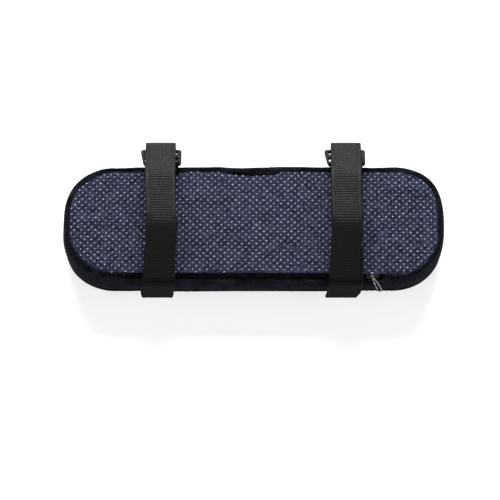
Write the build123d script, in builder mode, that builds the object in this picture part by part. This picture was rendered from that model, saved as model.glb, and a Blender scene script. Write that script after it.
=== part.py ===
from build123d import *
import os
from math import cos, hypot, radians, sin

os.makedirs("parts", exist_ok=True)

# Frame: X along the pad, +Y towards the buckles, -Y towards the zip, +Z out of the grip base.
# The origin is the centre of the grip base, the face that sits on the chair's armrest.

# ---- driving dimensions, mm
pad_length = 250.0
pad_width = 78.0
pad_height = 32.0
corner_radius = 34.0
cover_thickness = 1.9
base_rim = 3.0
rim_radius = 2.8
top_edge_radius = 7.0
core_edge_radius = 1.2
top_seam_height = 7.0
groove_width = 0.7
groove_sink = 0.5
groove_overrun = 1.0
thread_width = 0.5
band_thread_middle = 5.0
band_thread_short = 3.5

webbing_width = 20.0
webbing_thickness = 1.3
strap_places = {"left": -61.0, "right": 61.0}
anchor_shift = 1.5
stitch_radius = 0.22
root_stitch_margin = 2.0
root_stitch_depth = 6.0
tack_margin = 2.0
tack_places = (1.7, 2.5)

zip_length = 168.0
zip_tilt = 45.0
zip_half_opening = 2.6
zip_groove_depth = 2.1
coil_inner = 0.4
coil_outer = 1.7
coil_height = 1.6
tape_outer = 3.1
tape_thickness = 0.4
tape_clearance = 0.4
coil_clearance = 0.2
stop_length = 2.5

slider_place = 78.0
slider_length = 8.6
slider_half_width = 2.35
slider_half_height = 1.8
slider_wall = 0.7
slider_chamfer = 0.7
post_width = 0.4
post_length = 2.4
bail_height = 3.6
bail_reach = 2.7
bail_radius = 0.45
bail_bend = 0.9
eye_radius = 1.35
eye_clearance = 0.15
eye_thickness = 1.0
puller_length = 17.5
puller_thickness = 0.8
puller_hang = 12.0
puller_lean = 12.0
neck_half_width = 0.6
neck_start = 0.95
shoulder_half_width = 1.1
shoulder_place = 4.5
tip_half_width = 1.6
window_width = 1.3
window_top = 5.0
window_margin = 1.4

buckle_width = 27.0
buckle_thickness = 2.6
buckle_tilt = 22.0
buckle_hinge = (40.3, 4.7)
buckle_slot_width = 23.6
buckle_corner = 2.4
buckle_edge = 0.6
bar_overlap = 0.5
centre_bar = (4.9, 8.1)
far_bar = (10.9, 12.7)
hinge_gap = 0.2

half_webbing = webbing_thickness / 2


def save(part, label):
    """Label a finished piece and write its STEP file."""
    part.label = label
    export_step(part, f"parts/{label}.step")


def pad_outline(inset, mode=Mode.ADD):
    """The pad's rounded plan outline, drawn inset from its outer edge."""
    length = pad_length - 2 * inset
    width = pad_width - 2 * inset
    return RectangleRounded(length, width, corner_radius - inset, mode=mode)


def outline_ring(outer_inset, inner_inset, bottom, height):
    """A closed band that follows the pad's outline between two insets."""
    with BuildPart() as ring:
        with BuildSketch(Plane.XY.offset(bottom)):
            pad_outline(outer_inset)
            pad_outline(inner_inset, Mode.SUBTRACT)
        extrude(amount=height)
    return ring.part


# ---- section of the zip
# The chain runs along the near edge with its face tilted outwards. In its section, local x runs
# from the side band to the grip base and local y points out of the chain.
zip_lean = radians(zip_tilt)
across_way = (cos(zip_lean), sin(zip_lean))
out_way = (-sin(zip_lean), cos(zip_lean))
zip_centre = (
    (cover_thickness - pad_width) / 2 + zip_half_opening * across_way[0],
    -cover_thickness / 2 - zip_half_opening * across_way[1],
)
zip_section = Plane(origin=(0, *zip_centre), x_dir=(0, *across_way), z_dir=(1, 0, 0))


def zip_point(x, out):
    """A point straight out of the chain's middle."""
    return (x, zip_centre[0] + out * out_way[0], zip_centre[1] + out * out_way[1])


# Groove along the near edge that the slider runs in
groove_height = 8.0
with BuildPart() as zip_groove:
    with BuildSketch(zip_section):
        with Locations((0, groove_height / 2 - zip_groove_depth)):
            Rectangle(2 * zip_half_opening, groove_height)
    extrude(amount=zip_length / 2 + stop_length + groove_overrun, both=True)

# Bed that both zip tapes are sewn into
with BuildPart() as tape_bed:
    with BuildSketch(zip_section):
        Rectangle(2 * tape_outer, tape_thickness)
    extrude(amount=zip_length / 2 + stop_length, both=True)

# Slots in the far base seam that the anchor straps are sewn into
seam_y = pad_width / 2 - base_rim
leg_thickness = 2 * webbing_thickness
with BuildPart() as anchor_slots:
    for strap_x in strap_places.values():
        with Locations((strap_x + anchor_shift, seam_y, -cover_thickness / 2)):
            Box(webbing_width, leg_thickness, cover_thickness)

# ---- cushion
with BuildPart() as envelope:
    with BuildSketch(Plane.XY.offset(-pad_height)):
        pad_outline(0)
    extrude(amount=pad_height)
    fillet(envelope.faces().sort_by(Axis.Z)[-1].edges(), rim_radius)
    fillet(envelope.faces().sort_by(Axis.Z)[0].edges(), top_edge_radius)

with BuildPart() as core_form:
    with BuildSketch(Plane.XY.offset(cover_thickness - pad_height)):
        pad_outline(cover_thickness)
    extrude(amount=pad_height - 2 * cover_thickness)
    fillet(core_form.faces().sort_by(Axis.Z)[-1].edges(), core_edge_radius)
    fillet(core_form.faces().sort_by(Axis.Z)[0].edges(), top_edge_radius - cover_thickness)

# Foam slab inside the cover
with BuildPart() as foam_core:
    add(core_form.part)
    add(zip_groove.part, mode=Mode.SUBTRACT)
    add(tape_bed.part, mode=Mode.SUBTRACT)
save(foam_core.part, "foam_core")

# Grooves of the two long seams, and of the upright seams where the side band's halves meet
top_seam_z = top_seam_height - pad_height
top_groove = outline_ring(-groove_overrun, groove_sink, top_seam_z - groove_width / 2, groove_width)
base_groove = outline_ring(
    base_rim - groove_width / 2, base_rim + groove_width / 2, -groove_sink, groove_sink
)
upright_length = pad_height - top_seam_height - rim_radius
with BuildPart() as upright_grooves:
    for side in (-1, 1):
        with Locations((0, side * pad_width / 2, (top_seam_z - rim_radius) / 2)):
            Box(groove_width, 2 * groove_sink, upright_length)

# Plush face that the forearm rests on, with its rolled edge
with BuildPart() as top_panel:
    add(envelope.part)
    add(core_form.part, mode=Mode.SUBTRACT)
    split(bisect_by=Plane.XY.offset(top_seam_z), keep=Keep.BOTTOM)
    add(top_groove, mode=Mode.SUBTRACT)
save(top_panel.part, "top_panel")

# Plush side band, two halves joined at the middle of each long side
with BuildPart() as side_band:
    add(envelope.part)
    add(core_form.part, mode=Mode.SUBTRACT)
    split(bisect_by=Plane.XY.offset(top_seam_z), keep=Keep.TOP)
    with BuildSketch(Plane.XY.offset(-cover_thickness)):
        pad_outline(base_rim)
    extrude(amount=cover_thickness, mode=Mode.SUBTRACT)
    for cut in (top_groove, base_groove, upright_grooves.part, zip_groove.part):
        add(cut, mode=Mode.SUBTRACT)
    for cut in (tape_bed.part, anchor_slots.part):
        add(cut, mode=Mode.SUBTRACT)

for side, kept in (("left", Keep.BOTTOM), ("right", Keep.TOP)):
    with BuildPart() as band_half:
        add(side_band.part)
        split(bisect_by=Plane.YZ, keep=kept)
    save(band_half.part, f"side_band_{side}")

# Dotted grip fabric
with BuildPart() as grip_base:
    with BuildSketch(Plane.XY.offset(-cover_thickness)):
        pad_outline(base_rim)
    extrude(amount=cover_thickness)
    for cut in (base_groove, zip_groove.part, tape_bed.part, anchor_slots.part):
        add(cut, mode=Mode.SUBTRACT)
save(grip_base.part, "grip_base")

# Seam threads
save(
    outline_ring(
        groove_sink - thread_width, groove_sink, top_seam_z - thread_width / 2, thread_width
    ),
    "top_seam_thread",
)

with BuildPart() as base_seam_thread:
    add(
        outline_ring(
            base_rim - thread_width / 2,
            base_rim + thread_width / 2,
            -groove_sink,
            groove_sink,
        )
    )
    add(zip_groove.part, mode=Mode.SUBTRACT)
    add(anchor_slots.part, mode=Mode.SUBTRACT)
save(base_seam_thread.part, "base_seam_thread")

with BuildPart() as band_seam_threads:
    for side in (-1, 1):
        thread_y = side * (pad_width - groove_sink) / 2
        with Locations((0, thread_y, (top_seam_z - band_thread_middle) / 2)):
            Box(thread_width, groove_sink, upright_length - band_thread_short)
save(band_seam_threads.part, "band_seam_threads")

# ---- zip
coil_width = coil_outer - coil_inner
tape_width = tape_outer - coil_outer
for edge, side in (("band", -1), ("base", 1)):
    with BuildPart() as zip_coil:
        with BuildSketch(zip_section):
            with Locations((side * (coil_inner + coil_width / 2), 0)):
                RectangleRounded(coil_width, coil_height, coil_width / 3)
        extrude(amount=zip_length / 2, both=True)
    save(zip_coil.part, f"zip_coil_{edge}")

    with BuildPart() as zip_tape:
        with BuildSketch(zip_section):
            with Locations((side * (coil_outer + tape_width / 2), 0)):
                Rectangle(tape_width, tape_thickness)
        extrude(amount=zip_length / 2 + stop_length, both=True)
    save(zip_tape.part, f"zip_tape_{edge}")

# Two stops at the closed end, one on each coil, and the single stop at the other end
with BuildPart() as zip_closed_stops:
    with BuildSketch(zip_section.offset(zip_length / 2)):
        with Locations(*[(side * (coil_inner + coil_width / 2), 0) for side in (-1, 1)]):
            RectangleRounded(coil_width, coil_height, coil_width / 4)
    extrude(amount=stop_length)
save(zip_closed_stops.part, "zip_closed_stops")

with BuildPart() as zip_open_stop:
    with BuildSketch(zip_section.offset(-zip_length / 2 - stop_length)):
        RectangleRounded(2 * coil_outer, coil_height, coil_width / 4)
    extrude(amount=stop_length)
save(zip_open_stop.part, "zip_open_stop")

# Slider: two plates joined by a thin post between the coils, and the bail that holds the puller
channel_half_width = coil_outer + coil_clearance
channel_half_height = slider_half_height - slider_wall
tape_gap = tape_thickness + tape_clearance
bail_plane = Plane(
    origin=(slider_place, *zip_centre), x_dir=(1, 0, 0), z_dir=(0, -across_way[0], -across_way[1])
)
with BuildPart() as zip_slider:
    with BuildSketch(zip_section.offset(slider_place)):
        outer = Rectangle(2 * slider_half_width, 2 * slider_half_height)
        chamfer(outer.vertices(), slider_chamfer)
        Rectangle(2 * channel_half_width, 2 * channel_half_height, mode=Mode.SUBTRACT)
        Rectangle(2 * slider_half_width, tape_gap, mode=Mode.SUBTRACT)
    extrude(amount=slider_length / 2, both=True)
    with BuildSketch(zip_section.offset(slider_place + slider_length / 2 - post_length)):
        Rectangle(post_width, 2 * slider_half_height)
    extrude(amount=post_length)
    with BuildLine(bail_plane) as bail_line:
        FilletPolyline(
            (-bail_reach, slider_half_height - slider_wall / 2),
            (-bail_reach, bail_height),
            (bail_reach, bail_height),
            (bail_reach, slider_half_height - slider_wall / 2),
            radius=bail_bend,
        )
    with BuildSketch(Plane(origin=bail_line.line @ 0, z_dir=bail_line.line % 0)):
        Circle(bail_radius)
    sweep()
save(zip_slider.part, "zip_slider")

# Puller: an eye round the bail and a slim open loop that hangs over the near edge
hang = radians(puller_hang)
lean = radians(puller_lean)
puller_axis = zip_point(slider_place, bail_height)
puller_way = Vector(sin(lean), -cos(lean) * sin(hang), -cos(lean) * cos(hang))
puller_face = Vector(0, -cos(hang), sin(hang))
puller_plane = Plane(origin=puller_axis, x_dir=puller_way.cross(puller_face), z_dir=puller_face)
puller_up = 1 if puller_plane.y_dir.dot(puller_way) > 0 else -1
eye_hole = bail_radius + eye_clearance
tip_start = puller_length - tip_half_width
with BuildPart() as zip_puller:
    with BuildSketch(Plane.YZ.offset(slider_place)) as eye_sketch:
        with Locations(puller_axis[1:]):
            Circle(eye_radius)
            Circle(eye_hole, mode=Mode.SUBTRACT)
    extrude(amount=eye_thickness / 2, both=True)
    with BuildSketch(puller_plane):
        with BuildLine():
            Polyline(
                (-neck_half_width, puller_up * neck_start),
                (-shoulder_half_width, puller_up * shoulder_place),
                (-tip_half_width, puller_up * tip_start),
            )
            ThreePointArc(
                (-tip_half_width, puller_up * tip_start),
                (0, puller_up * puller_length),
                (tip_half_width, puller_up * tip_start),
            )
            Polyline(
                (tip_half_width, puller_up * tip_start),
                (shoulder_half_width, puller_up * shoulder_place),
                (neck_half_width, puller_up * neck_start),
                (-neck_half_width, puller_up * neck_start),
            )
        make_face()
        window_middle = (shoulder_place + puller_length - window_margin) / 2
        window_length = puller_length - window_top - window_margin
        with Locations((0, puller_up * window_middle)):
            SlotOverall(window_length, window_width, rotation=90, mode=Mode.SUBTRACT)
    extrude(amount=puller_thickness / 2, both=True)
save(zip_puller.part, "zip_puller")

# ---- straps
# Each strap is sewn flat on the grip base, runs out over the zip, hangs in a short fold beside
# the near wall, and comes back over the base in an arch to the buckle.
strap_route = [
    (-19.0, half_webbing),
    (-29.0, half_webbing),
    (-33.0, 3.0),
    (-43.85, 3.0),
    (-43.85, -17.8),
    (-46.3, -17.8),
    (-46.3, 5.6),
    (-6.0, 15.2),
    (30.5, 12.5),
]
strap_bends = [2.5, 2.5, 2.6, 1.2, 1.2, 6.0, 40.0, 20.0]

tilt = radians(buckle_tilt)


def by_buckle(along, out):
    """A (y, z) point, given along the tilted buckle from its hinge bar and out of its face."""
    return (
        buckle_hinge[0] + along * cos(tilt) + out * sin(tilt),
        buckle_hinge[1] - along * sin(tilt) + out * cos(tilt),
    )


cut_place = -7.0
lap_height = 3.65
end_gap = 0.8
strap_route.append(by_buckle(cut_place - end_gap, lap_height))

# The strap's end folds round beyond the buckle, comes up through the far slot, lies over the
# centre bar and goes down through the near slot to a short free tail.
far_slot_middle = (centre_bar[1] + far_bar[0]) / 2
near_slot_pass = 3.9
fold_place = 17.85
under_bars = -2.2
over_centre_bar = 2.1
tail_start = -2.6
tail_reach = 1.2
tail_drop = 9.0
tail_top = by_buckle(near_slot_pass, tail_start)
end_route = [
    by_buckle(cut_place, lap_height),
    by_buckle(fold_place, lap_height),
    by_buckle(fold_place, under_bars),
    by_buckle(far_slot_middle, under_bars),
    by_buckle(far_slot_middle, over_centre_bar),
    by_buckle(near_slot_pass, over_centre_bar),
    tail_top,
    (tail_top[0] + tail_reach, tail_top[1] - tail_drop),
]
end_bends = [2.9, 2.9, 0.9, 0.9, 0.9, 3.0]

leg_bend = (seam_y, 0.4)
leg_bend_radius = 1.4
leg_way = (buckle_hinge[0] - leg_bend[0], buckle_hinge[1] - leg_bend[1])
leg_length = hypot(*leg_way)
loop_inner = buckle_thickness / 2 + hinge_gap
loop_outer = loop_inner + webbing_thickness

for side, strap_x in strap_places.items():
    strap_plane = Plane.YZ.offset(strap_x)

    with BuildPart() as strap:
        with BuildSketch(strap_plane):
            with BuildLine():
                FilletPolyline(*strap_route, radius=strap_bends)
            trace(line_width=webbing_thickness)
        extrude(amount=webbing_width / 2, both=True)
    save(strap.part, f"strap_{side}")

    with BuildPart() as strap_end:
        with BuildSketch(strap_plane):
            with BuildLine():
                FilletPolyline(*end_route, radius=end_bends)
            trace(line_width=webbing_thickness)
        extrude(amount=webbing_width / 2, both=True)
    save(strap_end.part, f"strap_end_{side}")

    # Folded webbing that holds the buckle's bar, sewn into the far base seam
    with BuildPart() as anchor:
        with BuildSketch(strap_plane.offset(anchor_shift)):
            with BuildLine():
                leg_line = [(seam_y, -cover_thickness), leg_bend, buckle_hinge]
                FilletPolyline(*leg_line, radius=leg_bend_radius)
            trace(line_width=leg_thickness)
            with Locations(buckle_hinge):
                Circle(loop_outer)
                Circle(loop_inner, mode=Mode.SUBTRACT)
        extrude(amount=webbing_width / 2, both=True)
    save(anchor.part, f"anchor_{side}")

    # Slide buckle: a flat frame with a centre bar, turning on its round near bar
    buckle_plane = Plane(
        origin=(strap_x, *buckle_hinge), x_dir=(1, 0, 0), z_dir=(0, sin(tilt), cos(tilt))
    )
    bar_radius = buckle_thickness / 2
    with BuildPart() as buckle:
        with BuildSketch(buckle_plane):
            with Locations((0, (far_bar[1] - bar_radius) / 2)):
                RectangleRounded(buckle_width, far_bar[1] + bar_radius, buckle_corner)
            with Locations((0, (centre_bar[0] - bar_radius) / 2)):
                Rectangle(buckle_slot_width, centre_bar[0] + bar_radius, mode=Mode.SUBTRACT)
            with Locations((0, far_slot_middle)):
                Rectangle(buckle_slot_width, far_bar[0] - centre_bar[1], mode=Mode.SUBTRACT)
        extrude(amount=buckle_thickness / 2, both=True)
        fillet(buckle.edges().filter_by(Axis.X).group_by(Axis.Y)[-1], buckle_edge)
        with BuildSketch(Plane.YZ.offset(strap_x)):
            with Locations(buckle_hinge):
                Circle(bar_radius)
        extrude(amount=buckle_slot_width / 2 + bar_overlap, both=True)
    save(buckle.part, f"buckle_{side}")

    # Bar tacks across both faces of the anchor's leg
    tack_distance = leg_thickness / 2 + stitch_radius
    with BuildPart() as anchor_tacks:
        with BuildSketch(strap_plane.offset(anchor_shift)):
            for along in tack_places:
                for face in (-1, 1):
                    out = face * tack_distance
                    tack_y = leg_bend[0] + (along * leg_way[0] - out * leg_way[1]) / leg_length
                    tack_z = leg_bend[1] + (along * leg_way[1] + out * leg_way[0]) / leg_length
                    with Locations((tack_y, tack_z)):
                        Circle(stitch_radius)
        extrude(amount=webbing_width / 2 - tack_margin, both=True)
    save(anchor_tacks.part, f"anchor_tacks_{side}")

    # Box stitch that holds the strap's root
    root_middle = (strap_route[0][0] + strap_route[1][0]) / 2
    stitch_length = webbing_width - 2 * root_stitch_margin
    stitch_z = webbing_thickness + stitch_radius
    with BuildPart() as root_stitching:
        with Locations((strap_x, root_middle, stitch_z)):
            for place in (-1, 1):
                with Locations((0, place * root_stitch_depth / 2, 0)):
                    Box(stitch_length, 2 * stitch_radius, 2 * stitch_radius)
                with Locations((place * stitch_length / 2, 0, 0)):
                    Box(2 * stitch_radius, root_stitch_depth, 2 * stitch_radius)
    save(root_stitching.part, f"root_stitching_{side}")
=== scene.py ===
from math import atan2, cos, pi, radians, sin

import bmesh
import bpy
import numpy as np
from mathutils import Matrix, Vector
from mathutils import noise as mnoise
from mathutils.bvhtree import BVHTree


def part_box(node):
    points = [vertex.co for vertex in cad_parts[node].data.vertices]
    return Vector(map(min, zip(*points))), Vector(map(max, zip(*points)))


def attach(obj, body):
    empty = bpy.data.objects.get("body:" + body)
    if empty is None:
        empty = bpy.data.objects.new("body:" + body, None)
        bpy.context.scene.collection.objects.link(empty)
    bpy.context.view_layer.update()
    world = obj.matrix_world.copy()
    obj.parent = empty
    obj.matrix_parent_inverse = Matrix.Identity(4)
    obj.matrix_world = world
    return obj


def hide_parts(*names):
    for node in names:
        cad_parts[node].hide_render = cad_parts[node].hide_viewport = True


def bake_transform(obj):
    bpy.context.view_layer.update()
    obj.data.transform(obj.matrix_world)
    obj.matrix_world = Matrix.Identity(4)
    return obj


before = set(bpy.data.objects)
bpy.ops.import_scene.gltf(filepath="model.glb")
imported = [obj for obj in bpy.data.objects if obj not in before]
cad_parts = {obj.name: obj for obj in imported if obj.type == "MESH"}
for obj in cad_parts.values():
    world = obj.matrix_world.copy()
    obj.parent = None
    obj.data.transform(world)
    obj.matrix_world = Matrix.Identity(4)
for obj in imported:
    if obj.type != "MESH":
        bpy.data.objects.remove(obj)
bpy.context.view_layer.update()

MM = 0.001
PAD, SLIDER, PULLER = "pad", "slider", "puller"

# ------------------------------------------------------------------ sizes, in mm
band_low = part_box("side_band_left")[0]
panel_low, panel_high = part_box("top_panel")
half_width = -band_low.y / MM
half_length = -band_low.x / MM
bottom_z = panel_low.z / MM
top_seam_z = panel_high.z / MM
grip_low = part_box("grip_base")[0]
rim_width = half_width + grip_low.y / MM
corner_radius = 34.0

strap_width = 20.0
strap_thickness = 1.3
rib_pitch = 1.9
buckle_tilt = radians(22.0)
hinge_bar = (40.3, 4.7)
strap_sides = {"left": -61.0, "right": 61.0}

zip_centre = (-36.2116, -2.7885)
zip_lean = radians(45.0)
zip_half_length = 84.0
slider_x = 78.0


# ------------------------------------------------------------------ small tools
def smoothstep(low, high, value):
    t = np.clip((np.asarray(value, float) - low) / (high - low), 0.0, 1.0)
    return t * t * (3 - 2 * t)


def bump_at(value, centre, width):
    """A smooth bump of height 1 at centre, falling to 0 at centre +- width."""
    t = np.clip(1 - np.abs(np.asarray(value, float) - centre) / width, 0.0, 1.0)
    return t * t * (3 - 2 * t)


def noise_field(points, scale, seed, octaves=3):
    """Smooth noise between about -1 and 1 at each of the points (mm), for features of size scale."""
    shift = Vector((seed * 17.3, seed * 5.1, seed * 9.7))
    flat = np.asarray(points, float).reshape(-1, 3) / scale
    values = [mnoise.fractal(Vector(p) + shift, 0.6, 2.0, octaves) for p in flat]
    return np.array(values).reshape(np.shape(points)[:-1])


def grid_faces(rows, columns, wrap_columns=False, wrap_rows=False):
    """Quads of a grid of rows x columns vertices."""
    r = np.arange(rows if wrap_rows else rows - 1)
    c = np.arange(columns if wrap_columns else columns - 1)
    r, c = np.meshgrid(r, c, indexing="ij")
    r2, c2 = (r + 1) % rows, (c + 1) % columns
    quads = np.stack([r * columns + c, r * columns + c2, r2 * columns + c2, r2 * columns + c], -1)
    return quads.reshape(-1, 4)


def weld(points, faces):
    """Points with the doubled ones joined, the faces left, and each old point's new index."""
    points = np.asarray(points, float).reshape(-1, 3)
    _, first, inverse = np.unique(np.round(points, 4), axis=0, return_index=True, return_inverse=True)
    inverse = inverse.ravel()
    clean = []
    for face in faces:
        ring = []
        for index in face:
            index = int(inverse[index])
            if index not in ring:
                ring.append(index)
        if len(ring) > 2:
            clean.append(ring)
    return points[first], clean, inverse


def capped_faces(rows, columns, capped=True):
    """Quads of a closed tube of rows x columns vertices; capped closes its two ends, else it is a ring."""
    faces = grid_faces(rows, columns, wrap_columns=True, wrap_rows=not capped).tolist()
    if capped:
        faces.append(list(range(columns)))
        faces.append([(rows - 1) * columns + k for k in reversed(range(columns))])
    return faces


def add_object(name, data):
    """An object in the scene for a mesh or a light."""
    obj = bpy.data.objects.new(name, data)
    bpy.context.scene.collection.objects.link(obj)
    return obj


def link_mesh(name, points, faces):
    """A smooth object from points in mm and faces."""
    mesh = bpy.data.meshes.new(name)
    faces = faces.tolist() if isinstance(faces, np.ndarray) else faces
    mesh.from_pydata((np.asarray(points, float).reshape(-1, 3) * MM).tolist(), [], faces)
    mesh.validate()
    mesh.shade_smooth()
    return add_object(name, mesh)


def make_mesh(name, points, faces):
    """An object from points in mm and faces, with doubled points welded."""
    kept, clean, _ = weld(points, faces)
    return link_mesh(name, kept, clean)


def finish_piece(obj, body, slot, material, *nodes):
    """Give the piece its material and the body it rides on, and hide the nodes it stands for; the slot is
    not used.
    """
    obj.data.materials.clear()
    obj.data.materials.append(material)
    if body:
        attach(obj, body)
    if nodes:
        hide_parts(*nodes)
    return obj


def upsample(values, factor, wrap):
    """Cubic (Catmull-Rom) upsampling of an array along its first axis."""
    values = np.asarray(values, float)
    count = len(values)
    total = count * factor if wrap else (count - 1) * factor + 1
    place = np.arange(total) / factor
    base = np.floor(place).astype(int)
    if not wrap:
        base = np.minimum(base, count - 2)
    t = (place - base).reshape((-1,) + (1,) * (values.ndim - 1))

    def pick(offset):
        index = base + offset
        index = index % count if wrap else np.clip(index, 0, count - 1)
        return values[index]

    p0, p1, p2, p3 = pick(-1), pick(0), pick(1), pick(2)
    return 0.5 * (
        2 * p1 + (p2 - p0) * t + (2 * p0 - 5 * p1 + 4 * p2 - p3) * t**2
        + (3 * p1 - p0 - 3 * p2 + p3) * t**3
    )


# ------------------------------------------------------------------ materials
def start_material(name, color, roughness, **sockets):
    """A Principled material with its constant sockets set; returns it, its node tree and the shader."""
    material = bpy.data.materials.new(name)
    material.use_nodes = True
    tree = material.node_tree
    shader = tree.nodes["Principled BSDF"]
    shader.inputs["Base Color"].default_value = (*color, 1)
    shader.inputs["Roughness"].default_value = roughness
    for socket, value in sockets.items():
        shader.inputs[socket.replace("_", " ")].default_value = value
    return material, tree, shader


def add_node(tree, kind, inputs=None, **settings):
    node = tree.nodes.new(kind)
    for key, value in settings.items():
        setattr(node, key, value)
    for key, value in (inputs or {}).items():
        if isinstance(value, bpy.types.NodeSocket):
            tree.links.new(value, node.inputs[key])
        else:
            node.inputs[key].default_value = value
    return node


def object_coords(tree, turn=0.0):
    """Object coordinates in mm, turned about Z."""
    coords = add_node(tree, "ShaderNodeTexCoord")
    mapping = add_node(
        tree,
        "ShaderNodeMapping",
        {"Vector": coords.outputs["Object"], "Rotation": (0, 0, turn), "Scale": (1 / MM,) * 3},
    )
    return mapping.outputs["Vector"]


def noise_node(tree, vector, size, detail=3.0, roughness=0.55):
    """Noise with features of about size mm."""
    return add_node(
        tree,
        "ShaderNodeTexNoise",
        {"Vector": vector, "Scale": 1 / size, "Detail": detail, "Roughness": roughness},
    ).outputs["Fac"]


def math_node(tree, operation, *values):
    return add_node(tree, "ShaderNodeMath", dict(enumerate(values)), operation=operation).outputs[0]


def times(tree, a, b):
    return math_node(tree, "MULTIPLY", a, b)


def times_plus(tree, a, b, c):
    return math_node(tree, "MULTIPLY_ADD", a, b, c)


def cosine(tree, a):
    return math_node(tree, "COSINE", a)


def paint(tree, shader, value, *stops):
    """Base colour from a colour ramp; each stop is (place, colour)."""
    ramp = add_node(tree, "ShaderNodeValToRGB", {"Fac": value})
    elements = ramp.color_ramp.elements
    while len(elements) < len(stops):
        elements.new(0.5)
    for element, (place, color) in zip(elements, stops):
        element.position = place
        element.color = (*color, 1)
    tree.links.new(ramp.outputs["Color"], shader.inputs["Base Color"])


def vary_roughness(tree, shader, value, low, high):
    """Roughness from low to high as the value goes from 0 to 1."""
    rough = add_node(
        tree, "ShaderNodeMapRange", {"Value": value, "To Min": low, "To Max": high}
    ).outputs["Result"]
    tree.links.new(rough, shader.inputs["Roughness"])


def add_bump(tree, shader, height, distance, strength=1.0):
    bump = add_node(
        tree, "ShaderNodeBump", {"Height": height, "Distance": distance * MM, "Strength": strength}
    )
    tree.links.new(bump.outputs["Normal"], shader.inputs["Normal"])


def scaled(color, factor):
    return tuple(c * factor for c in color)


def plush_material():
    """Short velvet pile: blotches of painted sheen where the nap lies differently, and a fine fibre bump.
    """
    base = (0.0043, 0.0052, 0.0076)
    material, tree, shader = start_material(
        "plush_velvet", base, 0.95, Sheen_Weight=0.03, Sheen_Roughness=0.4,
        Sheen_Tint=(0.6, 0.68, 0.9, 1), Specular_IOR_Level=0.03,
    )
    vector = object_coords(tree)
    nap = noise_node(tree, vector, 17, 4, 0.62)
    fibre = noise_node(tree, vector, 0.9, 3, 0.7)
    tufts = noise_node(tree, vector, 1.9, 3, 0.75)
    nap_sheen = times_plus(tree, tufts, 1.5, times(tree, nap, 1.2))
    nap_sheen = times_plus(tree, fibre, 0.4, math_node(tree, "SUBTRACT", nap_sheen, 1.02))
    # The blotches paint the velvet's sheen into its colour, lighter and darker.
    paint(tree, shader, nap_sheen, (0.25, scaled(base, 0.25)), (0.53, base), (0.8, scaled(base, 3.0)))
    clumps = noise_node(tree, vector, 2.2, 3, 0.6)
    height = math_node(tree, "ADD", fibre, times(tree, clumps, 0.9))
    add_bump(tree, shader, height, 0.55, 0.8)
    return material


dot_pitch_x, dot_pitch_y = 4.6, 4.5
dot_turn = radians(-0.5)


def grip_material():
    """Navy grip cloth: a diamond lattice of lighter yarns, with painted shade in the holes between them."""
    ground = (0.0225, 0.025, 0.052)
    material, tree, shader = start_material(
        "grip_cloth", ground, 0.85, Specular_IOR_Level=0.01,
    )
    vector = object_coords(tree, -dot_turn)
    split = add_node(tree, "ShaderNodeSeparateXYZ", {"Vector": vector})
    along = math_node(tree, "DIVIDE", split.outputs["X"], dot_pitch_x)
    across = math_node(tree, "DIVIDE", split.outputs["Y"], dot_pitch_y)
    edges = [
        math_node(tree, "PINGPONG", math_node(tree, operation, along, across), 0.5)
        for operation in ("ADD", "SUBTRACT")
    ]
    reach_out = math_node(tree, "MAXIMUM", *edges)
    rings = cosine(tree, times(tree, reach_out, 6 * pi))
    diagonal = math_node(tree, "ADD", along, across)
    twill = cosine(tree, times(tree, diagonal, 6 * pi))
    lattice = times_plus(tree, twill, 0.55, times(tree, rings, 0.6))
    uneven = noise_node(tree, vector, 3.4, 2, 0.6)
    lattice = times(tree, lattice, times(tree, uneven, 2.0))
    yarn = noise_node(tree, vector, 1.5, 3, 0.7)
    patches = noise_node(tree, vector, 14, 3, 0.55)
    value = times_plus(tree, lattice, 0.28, 0.12)
    value = times_plus(tree, yarn, 2.4, value)
    value = times_plus(tree, patches, 0.3, math_node(tree, "SUBTRACT", value, 1.0))
    light_yarn = (0.078, 0.084, 0.135)
    # The darkest stop paints shade into the holes between the yarns.
    paint(tree, shader, value, (0.15, scaled(ground, 0.15)), (0.5, scaled(ground, 0.9)), (0.85, light_yarn))
    add_bump(tree, shader, math_node(tree, "ADD", lattice, yarn), 0.16, 0.9)
    return material


def dot_material():
    """Pale translucent-looking grip dots, a little dirty and uneven."""
    pale = (0.80, 0.83, 0.98)
    material, tree, shader = start_material("grip_dots", pale, 0.42, Specular_IOR_Level=0.55)
    vector = object_coords(tree)
    wear = noise_node(tree, vector, 3.1, 2, 0.7)
    paint(tree, shader, wear, (0.3, scaled(pale, 0.35)), (0.5, scaled(pale, 0.8)), (0.66, pale))
    add_bump(tree, shader, noise_node(tree, vector, 0.3), 0.05, 0.5)
    return material


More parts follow.
